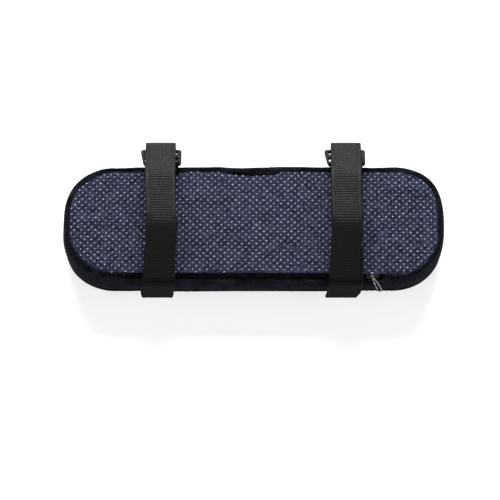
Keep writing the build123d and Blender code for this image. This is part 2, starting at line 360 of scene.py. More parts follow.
def webbing_material():
    """Black polypropylene webbing: warp yarns along the strap, crossing the woven ribs, with painted
    highlights on the rib crests and lighter specks that are partly yarn tone and partly painted glints.
    """
    base = (0.0038, 0.0038, 0.0036)
    material, tree, shader = start_material(
        "webbing", base, 0.38, Specular_IOR_Level=0.12
    )
    place = add_node(tree, "ShaderNodeAttribute", attribute_name="strap_place")
    split = add_node(tree, "ShaderNodeSeparateXYZ", {"Vector": place.outputs["Vector"]})
    warp = times(tree, split.outputs["X"], 2 * pi / 1.15)
    weft = times(tree, split.outputs["Y"], 2 * pi / rib_pitch)
    warp_wave = math_node(tree, "ABSOLUTE", cosine(tree, times(tree, warp, 0.5)))
    weave = times(tree, cosine(tree, warp), cosine(tree, weft))
    rib_highlight = cosine(tree, weft)
    vector = object_coords(tree)
    fuzz = noise_node(tree, vector, 0.5, 3, 0.7)
    wear = noise_node(tree, vector, 9, 3, 0.6)
    tone = times_plus(tree, weave, 0.12, times(tree, warp_wave, 0.22))
    tone = math_node(tree, "ADD", tone, times(tree, fuzz, 0.4))
    tone = times_plus(tree, wear, 0.35, tone)
    # Patchy rib crests painted lighter: painted highlights where the ribs catch the light.
    patch = noise_node(tree, vector, 4.5, 2, 0.6)
    rib_highlight = times(tree, rib_highlight, times(tree, patch, 2.0))
    tone = times_plus(tree, rib_highlight, 0.2, tone)
    # Lighter specks: partly yarn tone, partly painted glints; they also vary the roughness and the bump.
    specks_and_glints = noise_node(tree, vector, 1.5, 2, 0.7)
    tone = times_plus(tree, math_node(tree, "SUBTRACT", specks_and_glints, 0.5), 0.9, tone)
    paint(tree, shader, tone, (0.25, scaled(base, 0.3)), (0.55, base), (0.85, scaled(base, 1.9)))
    rough = add_node(
        tree, "ShaderNodeMapRange",
        {"Value": specks_and_glints, "From Min": 0.3, "From Max": 0.7, "To Min": 0.22, "To Max": 0.46},
    ).outputs["Result"]
    rough = times_plus(tree, split.outputs["Z"], 0.5, rough)
    tree.links.new(rough, shader.inputs["Roughness"])
    height = times_plus(tree, weave, 0.5, math_node(tree, "ADD", warp_wave, fuzz))
    height = times_plus(tree, specks_and_glints, 0.8, height)
    add_bump(tree, shader, height, 0.11, 0.9)
    return material


def plastic_material():
    base = (0.006, 0.006, 0.0065)
    material, tree, shader = start_material("buckle_plastic", base, 0.42, Specular_IOR_Level=0.1)
    vector = object_coords(tree)
    grain = noise_node(tree, vector, 0.35, 2, 0.5)
    scuffs = noise_node(tree, vector, 4.0, 5, 0.7)
    paint(tree, shader, scuffs, (0.35, scaled(base, 0.7)), (0.6, base), (0.78, scaled(base, 2.4)))
    vary_roughness(tree, shader, scuffs, 0.3, 0.55)
    add_bump(tree, shader, grain, 0.04, 0.4)
    return material


def metal_material():
    """Black lacquered zip metal, worn bright in places."""
    dark = (0.012, 0.012, 0.013)
    material, tree, shader = start_material(
        "zip_metal", dark, 0.36, Metallic=0.7, Specular_IOR_Level=0.35
    )
    vector = object_coords(tree)
    wear = noise_node(tree, vector, 1.6, 4, 0.65)
    paint(tree, shader, wear, (0.45, dark), (0.6, scaled(dark, 3)), (0.7, (0.5, 0.49, 0.47)))
    vary_roughness(tree, shader, wear, 0.24, 0.46)
    add_bump(tree, shader, noise_node(tree, vector, 0.5, 3), 0.03, 0.5)
    return material


def nickel_material():
    """Nickel-plated wire, dull in its hollows."""
    base = (0.17, 0.17, 0.175)
    material, tree, shader = start_material(
        "worn_nickel", base, 0.3, Metallic=0.9, Specular_IOR_Level=0.4
    )
    vector = object_coords(tree)
    wear = noise_node(tree, vector, 1.1, 3, 0.6)
    paint(tree, shader, wear, (0.35, scaled(base, 0.35)), (0.5, base), (0.64, scaled(base, 4.2)))
    add_bump(tree, shader, noise_node(tree, vector, 0.4, 3), 0.03, 0.5)
    return material


def yarn_material(name, base, twist):
    """Thread, coil or tape: fine oblique fibres."""
    material, tree, shader = start_material(
        name, base, 0.6, Specular_IOR_Level=0.12, Sheen_Weight=0.01, Sheen_Roughness=0.5
    )
    vector = object_coords(tree)
    split = add_node(tree, "ShaderNodeSeparateXYZ", {"Vector": vector})
    total = math_node(tree, "ADD", split.outputs["X"], split.outputs["Y"])
    total = math_node(tree, "ADD", total, split.outputs["Z"])
    fibres = math_node(tree, "SINE", times(tree, total, 2 * pi / twist))
    fuzz = noise_node(tree, vector, 0.4, 3, 0.7)
    tone = times_plus(tree, fibres, 0.15, fuzz)
    paint(tree, shader, tone, (0.3, scaled(base, 0.5)), (0.55, base), (0.8, scaled(base, 2.0)))
    add_bump(tree, shader, tone, 0.08, 0.8)
    return material


def foam_material():
    base = (0.78, 0.74, 0.60)
    material, tree, shader = start_material("memory_foam", base, 0.9, Specular_IOR_Level=0.2)
    vector = object_coords(tree)
    # The pores are painted darker: painted shade in their hollows.
    pores = add_node(tree, "ShaderNodeTexVoronoi", {"Vector": vector, "Scale": 1.4})
    paint(tree, shader, pores.outputs["Distance"], (0.0, scaled(base, 0.6)), (0.35, base))
    add_bump(tree, shader, pores.outputs["Distance"], 0.2, 0.6)
    return material


plush = plush_material()
grip = grip_material()
dots_look = dot_material()
webbing = webbing_material()
plastic = plastic_material()
metal = metal_material()
nickel = nickel_material()
foam = foam_material()
thread = yarn_material("sewing_thread", (0.006, 0.006, 0.0075), 0.5)
coil_nylon = yarn_material("coil_nylon", (0.004, 0.004, 0.0045), 0.9)
tape_weave = yarn_material("tape_weave", (0.003, 0.003, 0.0036), 0.6)


# ------------------------------------------------------------------ cushion
stations = 300
fold_depth = 2.1


def pad_outline(count):
    """Evenly spaced (x, y) points round the outline, from the middle of the near side towards +X."""
    flat_x = half_length - corner_radius
    flat_y = half_width - corner_radius
    arc = corner_radius * pi / 2
    quarter = flat_x + arc + flat_y
    points = []
    for i in range(count):
        turn, s = divmod(4 * quarter * i / count, quarter)
        if turn % 2:
            s = quarter - s
        if s < flat_x:
            x, y = s, half_width
        elif s < flat_x + arc:
            angle = (s - flat_x) / corner_radius
            x, y = flat_x + corner_radius * sin(angle), flat_y + corner_radius * cos(angle)
        else:
            x, y = half_length, flat_y - (s - flat_x - arc)
        sign_x = 1 if turn in (0, 1) else -1
        sign_y = -1 if turn in (0, 3) else 1
        points.append((sign_x * x, sign_y * y))
    return np.array(points)


outline = pad_outline(stations)
spine = np.stack([np.clip(outline[:, 0], half_width - half_length, half_length - half_width),
                  np.zeros(stations)], -1)
reach = np.hypot(*(outline - spine).T)
near_side = smoothstep(-half_width + 3, -half_width + 0.5, outline[:, 1])
far_side = smoothstep(half_width - 3, half_width - 0.5, outline[:, 1])
zip_shut_x, zip_open_x = zip_half_length + 4, zip_half_length - 0.5
zip_open = near_side * smoothstep(zip_shut_x, zip_open_x, np.abs(outline[:, 0]))
# Where the far rim is folded over, from 0 to 1
fold_over = far_side * smoothstep(-26, -8, outline[:, 0]) * smoothstep(21, 12, outline[:, 0])

# How much wider the rolled rim is: at the two ends, along the far side, and less at the near right, mm
end_rim = 1.1 * smoothstep(-96, -118, outline[:, 0]) + 0.7 * smoothstep(110, 121, outline[:, 0])
end_rim += 1.0 * smoothstep(20, 36, outline[:, 1])
end_rim -= 1.3 * smoothstep(90, 104, outline[:, 0]) * smoothstep(-4, -16, outline[:, 1])

# Rows of the cover from the middle of the grip base, over the rim and down the side, to the middle
# of the plush face: (inset from the outline, z), mm
base_steps = 14
seam_inset = rim_width
rim_rows = [(2.6, -0.12), (2.05, 0.15), (1.4, -0.02), (0.8, -0.55), (0.3, -1.5), (0.05, -2.8)]
lip_rows = [(0.75, -4.35), (0.5, -4.05), (0.25, -3.95), (0.08, -4.1), (0.0, -4.4), (-0.05, -4.8)]
wall_rows = [(-0.12, -6.0), (-0.3, -9.0), (-0.42, -12.5), (-0.42, -16.0), (-0.3, -19.5), (0.0, -22.6),
             (0.35, -24.0)]
top_seam_row = (1.0, top_seam_z)
roll_rows = [(0.3, -25.9), (0.2, -27.0), (0.65, -28.5), (1.7, -30.0), (3.4, -31.2), (5.8, -31.85),
             (9.5, -32.0)]
face_steps = 9


def cover_rows():
    """Inset and z of every row at every station, with the indices of the two seam rows."""
    seam = seam_inset + fold_depth * fold_over + end_rim
    insets, heights = [], []
    for k in range(base_steps):
        share = k / base_steps
        insets.append(reach * (1 - share) + seam * share)
        heights.append(np.zeros(stations))
    base_seam = len(insets)
    insets.append(seam)
    heights.append(-0.5 + 0.75 * zip_open)
    for (inset, z), (lip_inset, lip_z) in zip(rim_rows, lip_rows):
        rim_inset = inset * seam / seam_inset
        insets.append(rim_inset * (1 - zip_open) + lip_inset * zip_open)
        heights.append(z * (1 - zip_open) + lip_z * zip_open + 0.35 * fold_over * (inset > 1))
    for inset, z in wall_rows:
        insets.append(np.full(stations, inset))
        heights.append(np.full(stations, z))
    top_seam = len(insets)
    insets.append(np.full(stations, top_seam_row[0]))
    heights.append(np.full(stations, top_seam_row[1]))
    for inset, z in roll_rows:
        insets.append(np.full(stations, inset))
        heights.append(np.full(stations, z))
    last = roll_rows[-1][0]
    for k in range(1, face_steps + 1):
        share = k / face_steps
        insets.append(last * (1 - share) + reach * share)
        heights.append(np.full(stations, bottom_z))
    return np.array(insets), np.array(heights), base_seam, top_seam


def place_rows(insets, heights, outline, spine, reach):
    """Points (mm) of rows given by their inset from the outline and their height."""
    way = (spine - outline) / reach[:, None]
    flat = outline[None] + way[None] * insets[..., None]
    return np.concatenate([flat, heights[..., None]], -1)


insets, heights, base_seam, top_seam = cover_rows()
cover = place_rows(insets, heights, outline, spine, reach)


def swell(points, faces, pin, frames=20, pressure=4.0, growth=0.012):
    """Cloth-simulate a closed mesh of points (mm), held where pin is 1; returns the moved points."""
    mesh = bpy.data.meshes.new("swell")
    mesh.from_pydata((points * MM).tolist(), [], faces)
    obj = add_object("swell", mesh)
    group = obj.vertex_groups.new(name="held")
    for weight in np.unique(np.round(pin, 2)):
        chosen = np.nonzero(np.round(pin, 2) == weight)[0].tolist()
        if weight > 0:
            group.add(chosen, float(weight), "REPLACE")
    cloth = obj.modifiers.new("cloth", "CLOTH")
    settings = cloth.settings
    settings.quality = 6
    settings.mass = 0.2
    settings.tension_stiffness = 12
    settings.compression_stiffness = 12
    settings.shear_stiffness = 4
    settings.bending_stiffness = 0.2
    settings.use_pressure = True
    settings.uniform_pressure_force = pressure
    settings.shrink_min = -growth
    settings.vertex_group_mass = "held"
    settings.pin_stiffness = 1
    settings.effector_weights.gravity = 0
    cloth.collision_settings.use_collision = False
    cloth.collision_settings.use_self_collision = False
    cloth.point_cache.frame_start = 1
    cloth.point_cache.frame_end = frames
    scene = bpy.context.scene
    for step in range(1, frames + 1):
        scene.frame_set(step)
    depsgraph = bpy.context.evaluated_depsgraph_get()
    moved = np.array([v.co[:] for v in obj.evaluated_get(depsgraph).data.vertices]) / MM
    bpy.data.objects.remove(obj)
    bpy.data.meshes.remove(mesh)
    scene.frame_set(1)
    return moved


cover_cap = 1.3  # the furthest that the cloth may move, mm


def swollen_cover(cover):
    """The cover after the cloth has swelled between its seams, with the movement capped."""
    rows = len(cover)
    faces = grid_faces(rows, stations, wrap_columns=True)[:, ::-1]
    points, clean, inverse = weld(cover, faces)
    pin = np.zeros(cover.shape[:2])
    for row, strength in ((base_seam, 1.0), (top_seam, 1.0), (base_seam + 1, 0.5), (top_seam + 1, 0.3)):
        pin[row] = strength
    pin[base_seam + 1:base_seam + 4, zip_open > 0.5] = 1.0
    pin_points = np.zeros(len(points))
    np.maximum.at(pin_points, inverse, pin.ravel())
    moved = swell(points, clean, pin_points)
    shift = (moved - points)[inverse].reshape(cover.shape)
    size = np.linalg.norm(shift, axis=-1, keepdims=True) + 1e-9
    shift = shift * np.tanh(size / cover_cap) * cover_cap / size
    even = sum(np.roll(shift, k, axis=1) for k in range(-3, 4)) / 7
    return 0.75 * even + 0.25 * shift


cover_shift = swollen_cover(cover)


# The grip base stays nearly flat, and the plush face lies on the ground
row_share = np.ones(len(cover))
row_share[:base_seam] = 0.42
cover = cover + cover_shift * row_share[:, None, None]

# Puckers that the seams and the zip leave in the near wall, and soft waves in the grip fabric
near_wall = bump_at(cover[..., 2], -13.0, 12.0) * near_side[None]
along = cover[..., 0]
pucker = np.zeros(along.shape)
# Each pucker's middle in x, its spread and its depth, mm
for centre, spread, depth in (
    (-27.0, 4.5, 0.7), (-17.5, 3.6, -0.8), (-8.5, 3.2, 0.75), (0.5, 3.4, -0.7), (47.0, 6.0, 0.35),
    (-88.0, 5.0, -0.4),
):
    slant = centre + 0.22 * (cover[..., 2] + 13.0)
    pucker += depth * np.exp(-(((along - slant) / spread) ** 2))
cover[..., 1] -= near_wall * pucker
wave = noise_field(cover[:base_seam + 1], 24.0, 3, 2)
edge_wave = noise_field(cover[:base_seam + 1] * (1, 0.35, 1), 9.0, 4, 2)
edge_share = smoothstep(20, 5, insets[:base_seam + 1]) * smoothstep(3.0, 6.5, insets[:base_seam + 1])
cover[:base_seam + 1, :, 2] += (0.28 * wave + 0.42 * edge_wave * edge_share) * smoothstep(
    2.9, 6.0, insets[:base_seam + 1]
)
cover[..., 2] = np.maximum(cover[..., 2], bottom_z)


def cover_piece(rows, columns, way_in, way_out, detail):
    """Grid and faces of one panel of the cover, with the tucked rows at its two ends."""
    wrap = len(columns) == stations
    grid = np.concatenate([way_in[:, columns], cover[rows][:, columns], way_out[:, columns]])
    grid = upsample(grid, detail[0], False)
    grid = upsample(grid.transpose(1, 0, 2), detail[1], wrap).transpose(1, 0, 2)
    return grid, grid_faces(grid.shape[0], grid.shape[1], wrap_columns=wrap)[:, ::-1]


def tuck(rows):
    """Rows (inset, z, inset in the zip's span, z there) that lie under a seam."""
    found = []
    for inset, z, zip_inset, zip_z in rows:
        found.append(place_rows(
            (inset * (1 - zip_open) + zip_inset * zip_open
             + (fold_depth * fold_over + end_rim) * (inset > 2))[None],
            (z * (1 - zip_open) + zip_z * zip_open)[None],
            outline, spine, reach,
        )[0])
    return slump(found)


def nap(grid, size, depth, seed):
    """Fine tufts of pile, pushed along the surface's normals."""
    down = np.gradient(grid, axis=0)
    side = np.gradient(grid, axis=1)
    normal = np.cross(side, down)
    normal /= np.linalg.norm(normal, axis=-1, keepdims=True) + 1e-9
    tufts = noise_field(grid, size, seed, 3)
    return grid + normal * (tufts * depth)[..., None]


rim_part = bump_at(insets, 1.4, 1.7) * (heights > -3.0) * far_side[None]
cover[..., 2] += 0.55 * rim_part


def blob(points, x, y, spread):
    return np.exp(-((points[..., 0] - x) ** 2 + (points[..., 1] - y) ** 2) / (2 * spread**2))


def slump(points):
    """The stuffed pad's uneven outline: its far edge swells, and its corners fill differently."""
    points = np.array(points, float)
    upper = smoothstep(-24.0, -6.0, points[..., 2])
    lower = 1 - upper
    # Blobs by their middle's x and y and their spread, mm
    near_right = blob(points, 92, -38, 22)
    near_left = blob(points, -100, -36, 20)
    far_right = blob(points, 114, 31, 15)
    far_left = blob(points, -113, 30, 16)
    far_edge = smoothstep(24, 39, points[..., 1]) * smoothstep(118, 70, np.abs(points[..., 0]))
    left_end = smoothstep(-116, -125, points[..., 0])
    shift_x = 2.2 * far_right - 0.7 * far_left + 0.6 * left_end
    shift_y = 2.6 * far_right + 1.2 * far_left + far_edge * (0.35 + 1.75 * upper)
    shift_y += near_right * (1.35 * lower - 0.9 * upper) + near_left * (0.9 * lower + 0.3)
    points[..., 0] += shift_x
    points[..., 1] += shift_y
    return points


cover = slump(cover)

base_rows = list(range(0, base_seam + 1))
band_rows = list(range(base_seam + 1, top_seam + 1))
face_rows = list(range(top_seam, len(cover)))
every = list(range(stations))
half = stations // 2
right_half = list(range(0, half + 1))
left_half = list(range(half, stations)) + [0]

base_under = tuck([
    (3.05, -0.9, 2.80, 0.16), (3.3, -1.3, 2.78, -0.12), (3.8, -1.5, 3.0, -0.34), (4.6, -1.6, 3.8, -0.42)
])
band_under = tuck([
    (4.2, -1.7, 2.4, -6.3), (3.5, -1.3, 1.9, -6.1), (3.1, -0.8, 1.4, -5.6), (2.95, -0.3, 1.05, -4.9)
])
band_end = tuck([(1.5, top_seam_z - 0.3, 1.5, top_seam_z - 0.3)])
face_start = tuck([(1.7, top_seam_z + 0.3, 1.7, top_seam_z + 0.3)])
nothing = np.zeros((0, stations, 3))

grid, faces = cover_piece(base_rows, every, nothing, base_under, (3, 3))
grip_cover = finish_piece(
    make_mesh("grip_base_cover", grid, faces), PAD, "grip_fabric", grip, "grip_base"
)

nap_size, nap_depth = 1.1, 0.09
for side, columns in (("left", left_half), ("right", right_half)):
    grid, faces = cover_piece(band_rows, columns, band_under, band_end, (3, 4))
    grid = nap(grid, nap_size, nap_depth, 11)
    ends = bump_at(np.arange(grid.shape[1]), 0, 5) + bump_at(np.arange(grid.shape[1]), grid.shape[1] - 1, 5)
    inward = 0.45 * ends[None, :] * smoothstep(-2.5, -5.0, grid[..., 2])
    grid[..., 1] -= np.sign(grid[..., 1]) * inward
    band = make_mesh(f"side_band_{side}_cover", grid, faces)
    finish_piece(band, PAD, "plush", plush, f"side_band_{side}")

grid, faces = cover_piece(face_rows, every, face_start, nothing, (4, 4))
grid = nap(grid, nap_size, nap_depth, 12)
grid[..., 2] = np.maximum(grid[..., 2], bottom_z)
top_cover = finish_piece(make_mesh("top_panel_cover", grid, faces), PAD, "plush", plush, "top_panel")


# The foam: the cover's rows moved in, kept behind the zip so that none shows in its opening
foam_gap = 2.6
foam_start = base_steps - 11
foam_zip_side = -31.5
foam_insets = np.concatenate([insets[foam_start:base_seam:2], insets[base_seam + 2:]]) + foam_gap
foam_insets = np.minimum(foam_insets, reach[None])
foam_heights = np.concatenate([heights[foam_start:base_seam:2], heights[base_seam + 2:]])
foam_heights = bottom_z / 2 + (foam_heights - bottom_z / 2) * (1 + 2 * foam_gap / bottom_z)
slab = slump(place_rows(foam_insets, foam_heights, outline, spine, reach))
foam_middle = np.full((1, stations), float(foam_heights[0, 0]))
slab = np.concatenate([slump(place_rows(reach[None], foam_middle, outline, spine, reach)), slab])
by_zip = smoothstep(-11, -7, slab[..., 2]) * smoothstep(94, 90, np.abs(slab[..., 0]))
slab[..., 1] += by_zip * np.maximum(foam_zip_side - slab[..., 1], 0)
foam_slab = finish_piece(
    make_mesh("foam_core_slab", slab, grid_faces(len(slab), stations, wrap_columns=True)[:, ::-1]),
    PAD, "foam", foam, "foam_core",
)


# ------------------------------------------------------------------ grip dots
def surface_height(obj):
    """Height finder (mm) over an object's upper surface."""
    tree = BVHTree.FromObject(obj, bpy.context.evaluated_depsgraph_get())

    def height(x, y):
        hit = tree.ray_cast(Vector((x * MM, y * MM, 0.02)), Vector((0, 0, -1)))
        return (hit[0].z / MM, hit[1]) if hit[0] is not None else (None, None)

    return height


def seam_distance(x, y):
    """Distance of a point inside the base seam, negative outside it."""
    seam = cover[base_seam, :, :2]
    after = np.roll(seam, -1, axis=0)
    crossing = (seam[:, 1] > y) != (after[:, 1] > y)
    rise = np.where(after[:, 1] == seam[:, 1], 1.0, after[:, 1] - seam[:, 1])
    meets = seam[:, 0] + (y - seam[:, 1]) / rise * (after[:, 0] - seam[:, 0])
    inside = np.count_nonzero(crossing & (x < meets)) % 2
    distance = float(np.hypot(*(seam - (x, y)).T).min())
    return distance if inside else -distance


dot_radius = 0.385
dot_seam_gap = 0.7
missing_dots = 0.006
dot_top = 0.41


def build_dots():
    rng = np.random.default_rng(7)
    height = surface_height(grip_cover)
    ring_count = 8
    profile = [(1.0, -0.12), (0.98, 0.14), (0.78, 0.29), (0.42, 0.38)]
    points, faces = [], []
    for j in range(-20, 21):
        for i in range(-30, 31):
            x0 = (i + 0.5 * (j % 2)) * dot_pitch_x
            y0 = j * dot_pitch_y / 2
            x = x0 * cos(dot_turn) - y0 * sin(dot_turn)
            y = x0 * sin(dot_turn) + y0 * cos(dot_turn)
            keep = rng.random()
            radius = dot_radius * (0.88 + 0.24 * rng.random())
            shift_x, shift_y = rng.normal(0, 0.09, 2)
            x, y = x + shift_x, y + shift_y
            if seam_distance(x, y) < dot_seam_gap or keep < missing_dots:
                continue
            z, normal = height(x, y)
            if z is None:
                continue
            spot = Vector((x, y, z))
            start = len(points)
            slant = radians(-34 if j % 2 else 22) + rng.normal(0, 0.22)
            side = Vector((cos(slant), sin(slant), 0))
            side = (side - normal * side.dot(normal)).normalized()
            other = normal.cross(side)
            length = radius * (1.35 + 0.35 * rng.random())
            width = radius * (0.62 + 0.2 * rng.random())
            for share, lift in profile:
                for k in range(ring_count):
                    angle = 2 * pi * k / ring_count
                    across = side * (cos(angle) * length) + other * (sin(angle) * width)
                    points.append(spot + across * share + normal * lift)
            points.append(spot + normal * dot_top)
            for r in range(len(profile) - 1):
                for k in range(ring_count):
                    a = start + r * ring_count + k
                    b = start + r * ring_count + (k + 1) % ring_count
                    faces.append([a, b, b + ring_count, a + ring_count])
            last = start + (len(profile) - 1) * ring_count
            for k in range(ring_count):
                faces.append([last + k, last + (k + 1) % ring_count, len(points) - 1])
            faces.append([start + k for k in reversed(range(ring_count))])
    return link_mesh("grip_dots", points, faces)


finish_piece(build_dots(), PAD, "grip_fabric", dots_look)


# ------------------------------------------------------------------ straps
def by_buckle(along, out):
    """A (y, z) point given along the tilted buckle from its hinge bar and out of its face."""
    return (
        hinge_bar[0] + along * cos(buckle_tilt) + out * sin(buckle_tilt),
        hinge_bar[1] - along * sin(buckle_tilt) + out * cos(buckle_tilt),
    )


def resampled(points, step):
    """A 2-D line's points about every step mm, and their places along it."""
    points = np.array(points)
    lengths = np.concatenate([[0], np.cumsum(np.linalg.norm(np.diff(points, axis=0), axis=1))])
    count = int(round(lengths[-1] / step))
    places = np.linspace(0, lengths[-1], count + 1)
    return np.stack([np.interp(places, lengths, points[:, k]) for k in (0, 1)], -1), places


def rounded_path(corners, radii, step):
    """Points every step mm along a line through the corners, each rounded to its radius."""
    corners = [np.array(c, float) for c in corners]
    dense = [corners[0]]
    for before, corner, after, radius in zip(corners, corners[1:], corners[2:], radii):
        way_in = (before - corner) / np.linalg.norm(before - corner)
        way_out = (after - corner) / np.linalg.norm(after - corner)
        half_turn = np.arccos(np.clip(way_in @ way_out, -1, 1)) / 2
        if abs(half_turn - pi / 2) < 0.01:
            dense.append(corner)
            continue
        cut = radius / np.tan(half_turn)
        middle = corner + (way_in + way_out) / np.linalg.norm(way_in + way_out) * radius / np.sin(half_turn)
        start, end = corner + way_in * cut - middle, corner + way_out * cut - middle
        first = atan2(start[1], start[0])
        sweep = (atan2(end[1], end[0]) - first + pi) % (2 * pi) - pi
        for k in range(13):
            angle = first + sweep * k / 12
            dense.append(middle + radius * np.array([cos(angle), sin(angle)]))
    dense.append(corners[-1])
    return resampled(dense, step)


def soften(path, window, share):
    """Blend a path with its running mean over window points, by share."""
    kernel = np.hanning(window + 2)[1:-1]
    kernel /= kernel.sum()
    padded = np.concatenate([
        2 * path[0] - path[window // 2:0:-1], path, 2 * path[-1] - path[-2:-window // 2 - 2:-1]
    ])
    mean = np.stack([np.convolve(padded[:, k], kernel, "valid")[:len(path)] for k in (0, 1)], -1)
    return path + (mean - path) * np.asarray(share)[:, None]


def webbing_mesh(name, path, places, middles, seed=1):
    """A webbing strip along a (y, z) path; middles holds its middle's x at each point."""
    half = strap_width / 2
    widths = np.array([
        -10.0, -9.85, -9.4, -8.6, -7.8, -7.45, -7.2, -6.95, -6.5, -5.2, -3.9, -2.6, -1.3, 0.0,
    ]) * half / 10
    widths = np.concatenate([widths, -widths[-2::-1]])
    edge = np.sqrt(np.clip(1 - np.clip((np.abs(widths) - 9.4) / 0.62, 0, 1) ** 2, 0, 1))
    ribbed = smoothstep(7.5, 6.9, np.abs(widths))
    groove = 0.16 * bump_at(np.abs(widths), 7.25, 0.45)
    tangent = np.gradient(path, axis=0)
    tangent /= np.linalg.norm(tangent, axis=1, keepdims=True)
    normal = np.stack([-tangent[:, 1], tangent[:, 0]], -1)
    rng = np.random.default_rng(seed)
    phase = rng.random() * rib_pitch
    ribs = np.abs(np.cos(pi * (places + phase) / rib_pitch))
    selvedge = 0.03 * np.cos(2 * pi * places / (rib_pitch / 2))
    half_thick = strap_thickness / 2
    grids = []
    for face in (1, -1):
        depth = half_thick - 0.2 * ribbed[None] * (1 - ribs[:, None]) - groove[None]
        depth = depth - 0.03 - (1 - ribbed[None]) * (0.06 + selvedge[:, None])
        depth = depth * edge[None]
        x = middles[:, None] + widths[None]
        y = path[:, 0, None] + normal[:, 0, None] * face * depth
        z = path[:, 1, None] + normal[:, 1, None] * face * depth
        grid = np.stack([x + 0 * y, y, z], -1)
        grids.append(grid if face > 0 else grid[:, ::-1])
    ring = np.concatenate([grids[0], grids[1][:, 1:-1]], axis=1)
    count = ring.shape[1]
    obj = link_mesh(name, ring, capped_faces(len(path), count))
    across = np.concatenate([widths, widths[::-1][1:-1]])
    turned = smoothstep(5.5, 1.0, path[:, 1]) * (path[:, 0] < -43)
    rising = 0.85 * smoothstep(-4, -9, path[:, 0])
    matte = np.maximum(turned, rising)
    marks = np.stack([
        np.broadcast_to(across, (len(path), count)),
        np.broadcast_to((places + phase)[:, None], (len(path), count)),
        np.broadcast_to(matte[:, None], (len(path), count)),
    ], -1)
    attribute = obj.data.attributes.new("strap_place", "FLOAT_VECTOR", "POINT")
    attribute.data.foreach_set("vector", marks.astype(np.float32).ravel())
    return obj


half_strap = strap_thickness / 2
over_buckle, under_buckle = 3.65, -2.2  # out of the buckle's face, mm
far_end, far_slot, near_slot = 17.85, 9.5, 3.9  # along the buckle from its hinge bar, mm
over_bar, tail_start = 2.1, -2.6
tail_shift, tail_drop = 1.2, -9.0
tail_y, tail_z = by_buckle(near_slot, tail_start)
strap_route = [
    (-19.0, half_strap), (-29.0, half_strap), (-33.0, 3.0), (-43.85, 3.0), (-43.85, -17.8),
    (-46.3, -17.8), (-46.3, 5.6), (-6.0, 15.2), (30.5, 12.5),
    by_buckle(far_end, over_buckle), by_buckle(far_end, under_buckle),
    by_buckle(far_slot, under_buckle), by_buckle(far_slot, over_bar),
    by_buckle(near_slot, over_bar), (tail_y, tail_z), (tail_y + tail_shift, tail_z + tail_drop),
]
strap_bends = [2.5, 2.5, 2.6, 1.2, 1.2, 6.0, 40.0, 20.0, 2.9, 2.9, 0.9, 0.9, 0.9, 3.0]
strap_step = 0.32
raw_path, strap_places = rounded_path(strap_route, strap_bends, strap_step)
peak = int(np.argmax(raw_path[:, 1]))
arch_before, lap_after = 38, 52  # from the strap's highest point, mm
over_near = int(np.argmax(strap_places > strap_places[peak] - arch_before))
lap_start = int(np.argmax(strap_places > strap_places[peak] + lap_after))
along_arch = smoothstep(over_near - 12, over_near + 12, np.arange(len(raw_path)))
along_arch *= smoothstep(lap_start + 10, lap_start - 10, np.arange(len(raw_path)))
strap_path = soften(raw_path, 45, along_arch)
strap_path = soften(strap_path, 7, np.full(len(raw_path), 0.8))


def strap_middles(keys):
    """The strap's middle x at each path point, from (place along the path, x) keys."""
    places, values = zip(*keys)
    values = np.interp(strap_places, places, values)
    kernel = np.ones(13) / 13
    padded = np.pad(values, 6, mode="edge")
    return np.convolve(padded, kernel, "valid")


place_of = dict(
    root=0.0,
    over=strap_places[int(np.argmax(raw_path[:, 0] < -43.5))],
    fold=strap_places[int(np.argmin(raw_path[:, 1]))],
    rise=strap_places[int(np.argmax((raw_path[:, 0] < -46.2) & (raw_path[:, 1] > -0.5)))],
    peak=strap_places[peak],
    lap=strap_places[lap_start],
    end=strap_places[-1],
)
# Where each strap's middle lies in x: (named place, mm past it, x)
strap_keys = {
    "left": [("root", 0, -61.6), ("over", 0, -61.7), ("fold", -1.5, -64.1), ("fold", 1.5, -62.6),
             ("rise", 0, -61.0), ("peak", -16, -60.0), ("peak", -5, -59.7), ("peak", 15, -60.5),
             ("peak", 33, -61.2), ("lap", 0, -61.4), ("end", 0, -61.2)],
    "right": [("root", 0, 61.8), ("over", 0, 61.9), ("fold", -1.5, 60.6), ("fold", 1.5, 57.1),
              ("rise", 0, 59.1), ("peak", -30, 59.9), ("peak", -11, 61.6), ("peak", 0, 61.8),
              ("peak", 14, 61.3), ("peak", 33, 61.4), ("lap", 0, 61.8), ("end", 0, 61.5)],
}
strap_skews = {
    side: [(place_of[place] + past, x) for place, past, x in keys] for side, keys in strap_keys.items()
}

for seed, (side, keys) in enumerate(strap_skews.items()):
    strap = webbing_mesh(f"strap_{side}_webbing", strap_path, strap_places, strap_middles(keys), seed=seed)
    finish_piece(strap, None, "webbing", webbing, f"strap_{side}", f"strap_end_{side}")
    x = strap_sides[side] * MM
    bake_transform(strap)


# ------------------------------------------------------------------ anchors
anchor_shift = 1.5
anchor_step = 0.3
leg_foot = (half_width - rim_width, -1.6)
leg_bend = (half_width - rim_width, 0.4)
loop_middle = 2.16
leg_way = np.array([hinge_bar[0] - leg_bend[0], hinge_bar[1] - leg_bend[1]])
leg_way /= np.linalg.norm(leg_way)
leg_side = np.array([-leg_way[1], leg_way[0]])


